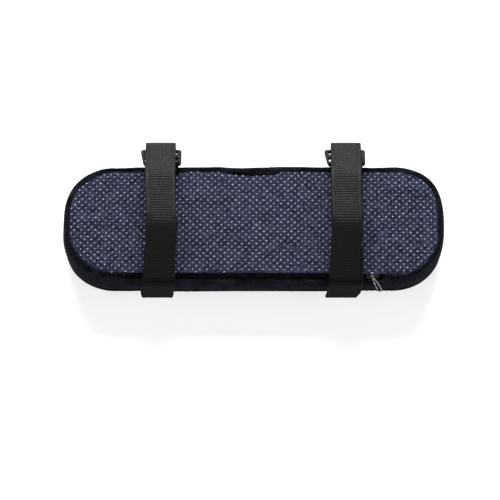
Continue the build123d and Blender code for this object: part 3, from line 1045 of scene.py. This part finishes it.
def anchor_path():
    """The anchor's webbing: up one face of its leg, round the buckle's bar and down the other."""
    ply = half_strap + 0.02
    hinge = np.array(hinge_bar)
    touch = -np.sqrt(loop_middle**2 - ply**2)
    up = [np.array(leg_foot) + (-ply, 0), np.array(leg_bend) + leg_side * ply * 1.1]
    down = [np.array(leg_bend) - leg_side * ply * 1.1, np.array(leg_foot) + (ply, 0)]
    points = up
    first = atan2(*(leg_way * touch + leg_side * ply)[::-1])
    last = atan2(*(leg_way * touch - leg_side * ply)[::-1])
    turn = -((first - last) % (2 * pi))
    for k in range(29):
        angle = first + turn * k / 28
        points.append(hinge + loop_middle * np.array([cos(angle), sin(angle)]))
    path, places = resampled(points + down, anchor_step)
    return soften(path, 5, np.full(len(path), 0.9)), places


loop_path, loop_places = anchor_path()
for side, x in strap_sides.items():
    anchor = webbing_mesh(
        f"anchor_{side}_webbing", loop_path, loop_places, np.full(len(loop_path), x + anchor_shift), seed=9
    )
    finish_piece(anchor, PAD, "webbing", webbing, f"anchor_{side}")


# ------------------------------------------------------------------ buckles
def buckle_mesh(name, x_middle):
    """A moulded slide buckle with rounded bars, turning on its round near bar."""
    width, slot, half_bar, far_edge = 27.0, 23.6, 1.3, 12.7
    slot_edges = [(-11.8, 11.8), (-11.8, 11.8), (-11.2, 10.9), (-10.9, 10.7), (-10.7, 10.7), (-10.7, 10.7)]
    bars = [(-half_bar, half_bar), (4.9, 8.1), (10.9, far_edge)]
    levels = [level for bar in bars for level in bar]
    corner_round, slot_round, rim_round = 2.3, 0.7, 0.62
    work = bmesh.new()
    cells = {}
    for j, y in enumerate(levels):
        for i, x in enumerate((-width / 2, *slot_edges[j], width / 2)):
            cells[i, j] = work.verts.new((x, y, -half_bar))
    flat = []
    for j in range(len(levels) - 1):
        for i in range(3):
            is_bar = (levels[j], levels[j + 1]) in bars
            if i != 1 or is_bar:
                ring = [cells[i, j], cells[i + 1, j], cells[i + 1, j + 1], cells[i, j + 1]]
                flat.append(work.faces.new(ring))
    made = bmesh.ops.extrude_face_region(work, geom=flat)["geom"]
    raised = [g for g in made if isinstance(g, bmesh.types.BMVert)]
    bmesh.ops.translate(work, vec=(0, 0, 2 * half_bar), verts=raised)
    bmesh.ops.recalc_face_normals(work, faces=work.faces[:])

    def upright(edge):
        a, b = (v.co for v in edge.verts)
        return abs(a.x - b.x) < 1e-6 and abs(a.y - b.y) < 1e-6

    corners = [
        e for e in work.edges
        if upright(e) and abs(abs(e.verts[0].co.x) - width / 2) < 1e-6
        and (abs(e.verts[0].co.y + half_bar) < 1e-6 or abs(e.verts[0].co.y - far_edge) < 1e-6)
    ]
    bmesh.ops.bevel(work, geom=corners, offset=corner_round, segments=6, profile=0.5, affect="EDGES")
    inner = [
        e for e in work.edges
        if upright(e) and abs(e.verts[0].co.x) < slot / 2 + 0.01
        and e.calc_face_angle(0) > 0.5
    ]
    bmesh.ops.bevel(work, geom=inner, offset=slot_round, segments=3, profile=0.5, affect="EDGES")
    work.normal_update()
    rims = [e for e in work.edges if e.calc_face_angle(0) > 0.9 and not upright(e)]
    bmesh.ops.bevel(work, geom=rims, offset=rim_round, segments=4, profile=0.5, affect="EDGES")
    for vert in work.verts:
        x, along, out = vert.co
        nearness = 1 - min(max(along / 10, 0), 1)
        if x < 0:
            x *= 1 - (0.13 if x < -slot / 2 - 0.4 else 0.1) * nearness
        spot = by_buckle(along, out)
        vert.co = Vector((x_middle + x, spot[0], spot[1])) * MM
    mesh = bpy.data.meshes.new(name)
    work.to_mesh(mesh)
    work.free()
    mesh.shade_smooth()
    return add_object(name, mesh)


for side, x in strap_sides.items():
    finish_piece(
        buckle_mesh(f"buckle_{side}_moulding", x), f"{side}_buckle", "buckle_plastic", plastic,
        f"buckle_{side}",
    )


# ------------------------------------------------------------------ zip
across_way = (cos(zip_lean), sin(zip_lean))
out_way = (-sin(zip_lean), cos(zip_lean))


def zip_spot(x, across, out):
    return (
        x,
        zip_centre[0] + across * across_way[0] + out * out_way[0],
        zip_centre[1] + across * across_way[1] + out * out_way[1],
    )


def tube(path, radius, sides, closed=False, flat=1.0):
    """Points and faces of a tube round a 3-D path; flat squashes it along its second axis."""
    path = np.asarray(path, float)
    if closed:
        tangent = np.roll(path, -1, 0) - np.roll(path, 1, 0)
    else:
        tangent = np.gradient(path, axis=0)
    tangent /= np.linalg.norm(tangent, axis=1, keepdims=True)
    reference = np.array((0.31, 0.17, 0.93))
    first = np.cross(tangent, reference)
    first /= np.linalg.norm(first, axis=1, keepdims=True)
    second = np.cross(tangent, first)
    radius = np.broadcast_to(np.asarray(radius, float), (len(path),))
    angles = 2 * pi * np.arange(sides) / sides
    ring = (
        path[:, None] + (first[:, None] * np.cos(angles)[None, :, None]
                         + flat * second[:, None] * np.sin(angles)[None, :, None])
        * radius[:, None, None]
    )
    return ring.reshape(-1, 3), capped_faces(len(path), sides, capped=not closed)


def joined(parts):
    """One list of points and one of faces from several (points, faces)."""
    points, faces = [], []
    count = 0
    for part_points, part_faces in parts:
        faces += [[index + count for index in face] for face in part_faces]
        points.append(part_points)
        count += len(part_points)
    return np.concatenate(points), faces


coil_pitch = 1.25
coil_loop = [
    (-0.12, 0.0), (0.1, 0.42), (0.55, 0.52), (1.1, 0.45), (1.5, 0.3), (1.58, -0.1), (1.4, -0.42),
    (0.8, -0.5), (0.2, -0.4),
]


def build_coil(edge, side):
    turns = int(2 * zip_half_length / coil_pitch)
    path = []
    count = len(coil_loop)
    for turn in range(turns):
        for k, (across, out) in enumerate(coil_loop):
            step = turn + 0.25 + 0.5 * k / count
            x = -zip_half_length + (step + (0.5 if side > 0 else 0)) * coil_pitch
            path.append(zip_spot(min(x, zip_half_length), side * across, out))
    return finish_piece(
        link_mesh(f"zip_coil_{edge}_teeth", *tube(path, 0.27, 6)), PAD, "zip_coil", coil_nylon,
        f"zip_coil_{edge}",
    )


def build_tape(edge, side):
    """Woven tape beside the coil, its edge turned under the cover."""
    xs = np.arange(-zip_half_length - 2.5, zip_half_length + 2.6, 0.6)
    section = [
        (1.0, 0.02), (1.7, 0.16), (2.3, 0.2), (2.9, 0.16), (3.05, 0.0), (2.9, -0.16), (2.3, -0.2),
        (1.7, -0.18), (1.0, -0.1),
    ]
    rows = []
    for k, x in enumerate(xs):
        rib = 0.035 * (k % 2)
        rows.append([zip_spot(x, side * a, o + rib * (1 if o > 0.1 else 0)) for a, o in section])
    faces = capped_faces(len(xs), len(section))
    return finish_piece(
        link_mesh(f"zip_tape_{edge}_weave", np.array(rows), faces), PAD, "zip_tape", tape_weave,
        f"zip_tape_{edge}",
    )


for edge, side in (("band", -1), ("base", 1)):
    build_coil(edge, side)
    build_tape(edge, side)


def dress(material, *names):
    """Give CAD nodes whose shape is right their material."""
    for name in names:
        obj = bpy.data.objects[name]
        obj.data.materials.clear()
        obj.data.materials.append(material)


dress(plastic, "zip_closed_stops", "zip_open_stop")


def build_slider():
    """Slider: two bowed plates joined by a post, and the bail that holds the puller."""
    parts = []
    length, half_slider, half_height, plate = 8.6, 2.35, 1.8, 0.7
    for face in (1, -1):
        steps_x, steps_a = 17, 9
        rows = []
        for i in range(steps_x):
            u = -1 + 2 * i / (steps_x - 1)
            nose = 1 - 0.42 * smoothstep(0.35, 1.0, u) - 0.1 * smoothstep(-0.6, -1.0, u)
            end = np.sqrt(max(1 - abs(u) ** 8, 0.0))
            ring = []
            for k in range(2 * steps_a):
                up = k < steps_a
                v = -1 + 2 * (k % steps_a) / (steps_a - 1)
                v = v if up else -v
                round_off = np.sqrt(max(1 - abs(v) ** 6, 0.0)) * end
                middle = half_height - plate / 2
                out = middle + (plate / 2 if up else -plate / 2) * round_off
                out += 0.18 * (1 - v * v) * (1 if up else 0)
                ring.append(zip_spot(
                    slider_x + u * length / 2, v * half_slider * nose, face * out
                ))
            rows.append(ring)
        parts.append((np.array(rows).reshape(-1, 3), capped_faces(steps_x, 2 * steps_a)))
    post = [zip_spot(slider_x + 3.2, 0, out) for out in np.linspace(-1.3, 1.3, 5)]
    parts.append(tube(post, 0.3, 8))
    arch = []
    for k in range(25):
        t = pi * k / 24
        arch.append(zip_spot(
            slider_x - 2.7 * np.sign(cos(t)) * abs(cos(t)) ** 0.55, 0,
            1.5 + 2.1 * abs(sin(t)) ** 0.55,
        ))
    parts.append(tube(arch, 0.44, 10))
    body_faces = sum(len(faces) for _, faces in parts)
    crown = [zip_spot(slider_x + x, across, out) for x, across, out in (
        (-1.3, 1.7, 1.7), (-0.9, 1.8, 2.25), (-0.3, 1.85, 2.5),
        (0.4, 1.8, 2.45), (1.0, 1.7, 2.1), (1.3, 1.6, 1.7),
    )]
    parts.append(tube(crown, (0.35, 0.55, 0.62, 0.6, 0.5, 0.35), 10))
    points, faces = joined(parts)
    obj = link_mesh("zip_slider_body", points, faces)
    finish_piece(obj, SLIDER, "zip_metal", metal, "zip_slider")
    obj.data.materials.append(nickel)
    for polygon in obj.data.polygons[body_faces:]:
        polygon.material_index = 1


def build_puller():
    """Puller: an eye round the bail and a slim open wire loop, leaning to one side."""
    pivot = np.array(zip_spot(slider_x, 0, 3.6))
    hang, lean = radians(12), radians(19)
    way = np.array((sin(lean), -cos(lean) * sin(hang), -cos(lean) * cos(hang)))
    face_way = np.array((0, -cos(hang), sin(hang)))
    side = np.cross(way, face_way)
    side /= np.linalg.norm(side)
    eye = [pivot + 0.98 * np.array((0, cos(a), sin(a))) for a in np.linspace(0, 2 * pi, 19)[:-1]]
    parts = [tube(eye, 0.36, 8, closed=True)]
    long, start = 17.3, 1.1
    loop = []
    for k in range(56):
        a = 2 * pi * k / 56
        along = (start + long) / 2 - (long - start) / 2 * cos(a)
        share = (along - start) / (long - start)
        half_loop = (0.5 + 1.05 * share**0.8) * np.sign(sin(a)) * abs(sin(a)) ** 0.42
        loop.append(pivot + way * along + side * half_loop)
    parts.append(tube(loop, 0.46, 8, closed=True))
    points, faces = joined(parts)
    return link_mesh("zip_puller_loop", points, faces)


build_slider()
finish_piece(build_puller(), PULLER, "zip_metal", nickel, "zip_puller")


# ------------------------------------------------------------------ threads
def sew(name, node, parts):
    """One piece of thread from several runs of stitches."""
    finish_piece(link_mesh(name, *joined(parts)), PAD, "thread", thread, node)


# Pitch, length and radius of each kind of stitch, mm
top_stitch = (3.2, 2.7, 0.24)
base_stitch = (2.6, 2.2, 0.2)
band_stitch = (3.0, 2.5, 0.22)
root_stitch = (2.0, 1.75, 0.2)
tack_stitch = (1.5, 1.3, 0.2)


def stitches(path, pitch, length, radius, out_ways, dip=0.35, closed=False):
    """Short stitches along a 3-D path (mm), each rising a little in its middle."""
    path = np.asarray(path, float)
    if closed:
        path = np.concatenate([path, path[:1]])
        out_ways = np.concatenate([out_ways, out_ways[:1]])
    lengths = np.concatenate([[0], np.cumsum(np.linalg.norm(np.diff(path, axis=0), axis=1))])
    total = lengths[-1]
    count = max(1, int(round(total / pitch)))
    parts = []
    shares = np.linspace(0, 1, 7)
    for k in range(count):
        middle = (k + 0.5) * total / count
        places = middle + (shares - 0.5) * length
        spots = np.stack([np.interp(places, lengths, path[:, c]) for c in range(3)], -1)
        outs = np.stack([np.interp(places, lengths, out_ways[:, c]) for c in range(3)], -1)
        sink = dip * (1 - np.sin(pi * shares)) ** 2
        thin = radius * (0.55 + 0.45 * np.sin(pi * shares) ** 0.5)
        parts.append(tube(spots - outs * sink[:, None], thin, 6))
    return joined(parts)


def outline_path(inset, z):
    """Path round the outline at an inset, with its outward directions."""
    places = outline + (spine - outline) / reach[:, None] * inset
    outs = (outline - spine) / reach[:, None]
    path = np.concatenate([places, np.full((stations, 1), z)], -1)
    out_ways = np.concatenate([outs, np.zeros((stations, 1))], -1)
    return path, out_ways


path, outs = outline_path(0.72, top_seam_z)
sew("top_seam_stitches", "top_seam_thread", [stitches(path, *top_stitch, outs, closed=True)])

seam_order = np.roll(np.arange(stations), -half)
off_zip = [k for k in seam_order if zip_open[k] < 0.02]
parts = []
for run in ([k for k in off_zip if outline[k][0] <= 0], [k for k in off_zip if outline[k][0] >= 0]):
    seam_path = cover[base_seam][run] + (0, 0, 0.1)
    ups = np.tile((0.0, 0.0, 1.0), (len(run), 1))
    order = np.argsort(np.array([(k - half) % stations if outline[k][0] <= 0 else k for k in run]))
    parts.append(stitches(seam_path[order], *base_stitch, ups[order], dip=0.25))
sew("base_seam_stitches", "base_seam_thread", parts)

parts = []
for side in (-1, 1):
    zs = np.linspace(top_seam_z + 1.2, -5.5, 30)
    path = np.stack([np.zeros(30), np.full(30, side * (half_width - 0.1)), zs], -1)
    column = 0 if side < 0 else half
    wall = cover[base_seam + 1:top_seam + 1, column]
    ys = np.interp(-zs, -wall[:, 2], wall[:, 1])
    path[:, 1] = ys - side * 0.38
    outs = np.tile((0.0, float(side), 0.0), (30, 1))
    parts.append(stitches(path, *band_stitch, outs, dip=0.3))
sew("band_seam_stitches", "band_seam_threads", parts)

box_x, box_y = 8, 3  # half the box stitch at the strap's root, mm
root_y = -24.0

for side, x in strap_sides.items():
    middle_x = float(np.interp(5.0, strap_places, strap_middles(strap_skews[side])))
    corners = [(-box_x, -box_y), (box_x, -box_y), (box_x, box_y), (-box_x, box_y), (-box_x, -box_y)]
    parts = []
    for (x0, y0), (x1, y1) in zip(corners, corners[1:]):
        share = np.linspace(0, 1, 24)[:, None]
        a = np.array((middle_x + x0, root_y + y0, strap_thickness + 0.02))
        b = np.array((middle_x + x1, root_y + y1, strap_thickness + 0.02))
        line = a + (b - a) * share
        ups = np.tile((0.0, 0.0, 1.0), (24, 1))
        parts.append(stitches(line, *root_stitch, ups, dip=0.3))
    sew(f"root_stitches_{side}", f"root_stitching_{side}", parts)
    parts = []
    for along in (1.7, 2.5):
        for face in (-1, 1):
            spot = np.array(leg_bend) + leg_way * along + leg_side * face * (strap_thickness + 0.12)
            line = np.array([(x + anchor_shift + w, *spot) for w in np.linspace(-8, 8, 30)])
            outs = np.tile((0.0, *(leg_side * face)), (30, 1))
            parts.append(stitches(line, *tack_stitch, outs, dip=0.3))
    sew(f"anchor_stitches_{side}", f"anchor_tacks_{side}", parts)


# ------------------------------------------------------------------ floor, lights and camera
def build_floor():
    size = 1.6
    mesh = bpy.data.meshes.new("floor")
    z = bottom_z * MM
    mesh.from_pydata(
        [(-size, -size, z), (size, -size, z), (size, size, z), (-size, size, z)], [], [(0, 1, 2, 3)]
    )
    obj = add_object("floor", mesh)
    material, tree, shader = start_material(
        "floor_paper", (0.5, 0.5, 0.5), 0.9, Emission_Color=(1, 1, 1, 1), Emission_Strength=0.72,
        Specular_IOR_Level=0.0,
    )
    vector = object_coords(tree)
    tone = noise_node(tree, vector, 60)
    paint(tree, shader, tone, (0.3, (0.49, 0.49, 0.49)), (0.7, (0.51, 0.51, 0.51)))
    mesh.materials.append(material)


def build_backdrop():
    """A pale wall far behind the floor, seen by the camera only, so it adds no light."""
    radius, height, sides = 4.0, 3.0, 64
    z = bottom_z * MM - 0.002
    ring = [(radius * cos(2 * pi * k / sides), radius * sin(2 * pi * k / sides)) for k in range(sides)]
    verts = [(x, y, z) for x, y in ring] + [(x, y, z + height) for x, y in ring]
    faces = [(k, (k + 1) % sides, sides + (k + 1) % sides, sides + k) for k in range(sides)]
    mesh = bpy.data.meshes.new("backdrop")
    mesh.from_pydata(verts, [], [tuple(range(sides))] + faces)
    obj = add_object("backdrop", mesh)
    material, *_ = start_material(
        "backdrop_paper", (0.1, 0.1, 0.1), 0.9, Emission_Color=(1, 1, 1, 1), Emission_Strength=1.0,
        Specular_IOR_Level=0.0,
    )
    mesh.materials.append(material)
    obj.visible_diffuse = False
    obj.visible_glossy = False
    obj.visible_transmission = False
    obj.visible_shadow = False


def area_light(name, azimuth, elevation, distance, size, power):
    """A soft rectangular light that looks at the pad's middle; azimuth 0 is the camera's side."""
    light = bpy.data.lights.new(name, "AREA")
    light.shape = "RECTANGLE"
    light.size, light.size_y = size
    light.energy = power
    obj = add_object(name, light)
    a, e = radians(azimuth), radians(elevation)
    place = Vector((sin(a) * cos(e), -cos(a) * cos(e), sin(e))) * distance
    obj.location = place
    obj.rotation_euler = (-place).to_track_quat("-Z", "Y").to_euler()


build_floor()
build_backdrop()
area_light("key", 180, 39, 1.3, (1.0, 0.42), 33)
area_light("left_fill", -75, 35, 1.4, (0.9, 0.7), 4)
area_light("right_fill", 75, 35, 1.4, (0.9, 0.7), 4)
area_light("front_fill", 0, 25, 1.6, (1.2, 0.5), 2.5)

world = bpy.data.worlds.new("studio")
bpy.context.scene.world = world
world.use_nodes = True
world.node_tree.nodes["Background"].inputs["Color"].default_value = (1, 1, 1, 1)
world.node_tree.nodes["Background"].inputs["Strength"].default_value = 0.15

camera_data = bpy.data.cameras.new("camera")
camera_data.lens = 200
camera_data.sensor_width = 36
camera_data.shift_x = -0.006
camera_data.shift_y = -0.0555
camera_data.clip_end = 10
camera = bpy.data.objects.new("camera", camera_data)
camera_elevation = radians(66)
camera_distance = 1.828
camera.location = Vector((0, -cos(camera_elevation), sin(camera_elevation))) * camera_distance
camera.rotation_euler = (pi / 2 - camera_elevation, 0, 0)
bpy.context.scene.collection.objects.link(camera)
bpy.context.scene.camera = camera
bpy.context.scene.view_settings.view_transform = "Standard"
